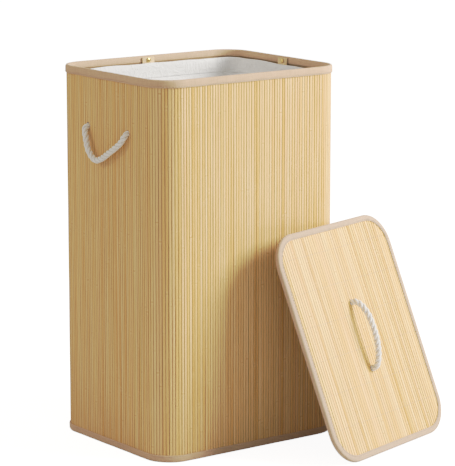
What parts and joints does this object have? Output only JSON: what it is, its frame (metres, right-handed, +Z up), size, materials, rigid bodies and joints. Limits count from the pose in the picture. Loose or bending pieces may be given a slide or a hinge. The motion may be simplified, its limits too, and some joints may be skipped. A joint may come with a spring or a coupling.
{
  "type": "laundry hamper with lid",
  "caption": "Tall laundry hamper of bamboo slats with cloth-bound edges, rope handles, a press-stud cloth liner and a flat lift-off lid with a rope loop.",
  "frame": {"origin": "on the floor, at the middle of the hamper's underside", "axes": "+Z up; X along the wide walls with the leaning lid towards +X; Y along the narrow walls, front wall towards -Y"},
  "size_m": [0.5148, 0.4693, 0.6],
  "materials": {
    "bamboo": "satin split-bamboo slats, natural honey colour",
    "binding_tape": "matt woven cotton tape, pinkish tan",
    "backing_cloth": "matt woven cloth",
    "steel_hoop": "plain spring steel, hidden in the bindings",
    "fibreboard": "plain brown hardboard",
    "liner_cotton": "matt off-white cotton cloth",
    "brass": "polished press-stud caps",
    "cotton_rope": "matt twisted cotton, off-white"
  },
  "bodies": {
    "hamper": {"bamboo_wall": "bamboo", "wall_backing": "backing_cloth", "rim_binding": "binding_tape", "base_binding": "binding_tape", "rim_hoop": "steel_hoop", "base_hoop": "steel_hoop", "base_cloth": "backing_cloth", "base_board": "fibreboard", "back_seam_tape": "binding_tape", "press_stud_front": "brass", "press_stud_right": "brass", "press_stud_back": "brass", "press_stud_left": "brass", "left_handle_patch": "fibreboard", "right_handle_patch": "fibreboard", "left_rope_end_front": "cotton_rope", "left_rope_end_back": "cotton_rope", "right_rope_end_front": "cotton_rope", "right_rope_end_back": "cotton_rope"},
    "liner": {"liner_neck": "liner_cotton", "liner_shoulder": "liner_cotton", "liner_bag": "liner_cotton", "liner_bottom": "liner_cotton", "liner_hem": "liner_cotton", "liner_tab_front": "binding_tape", "liner_tab_right": "binding_tape", "liner_tab_back": "binding_tape", "liner_tab_left": "binding_tape", "snap_cap_front": "brass", "snap_cap_right": "brass", "snap_cap_back": "brass", "snap_cap_left": "brass"},
    "left_handle": {"left_handle": "cotton_rope"},
    "right_handle": {"right_handle": "cotton_rope"},
    "lid": {"lid_binding": "binding_tape", "lid_lining": "backing_cloth", "lid_board": "fibreboard", "lid_mat": "bamboo", "lid_washer_lower": "fibreboard", "lid_washer_upper": "fibreboard", "lid_rope_end_lower": "cotton_rope", "lid_rope_end_upper": "cotton_rope"},
    "lid_handle": {"lid_handle": "cotton_rope"}
  },
  "joints": [
    {"name": "liner_lift", "type": "slide", "parent": "hamper", "child": "liner", "axis": [0, 0, 1], "range_m": [0, 0.6]},
    {"name": "left_handle_swing", "type": "hinge", "parent": "hamper", "child": "left_handle", "pos_m": [-0.1835, 0, 0.51], "axis": [0, 1, 0], "range_deg": [0, 150]},
    {"name": "right_handle_swing", "type": "hinge", "parent": "hamper", "child": "right_handle", "pos_m": [0.1835, 0, 0.51], "axis": [0, -1, 0], "range_deg": [0, 150]},
    {"name": "lid_lift", "type": "slide", "parent": "hamper", "child": "lid", "axis": [0, 0, 1], "range_m": [0, 0.62]},
    {"name": "lid_handle_swing", "type": "hinge", "parent": "lid", "child": "lid_handle", "pos_m": [0.16317, -0.22817, 0.17805], "axis": [-0.106, 0.3568, 0.9282], "range_deg": [-80, 80]}
  ]
}
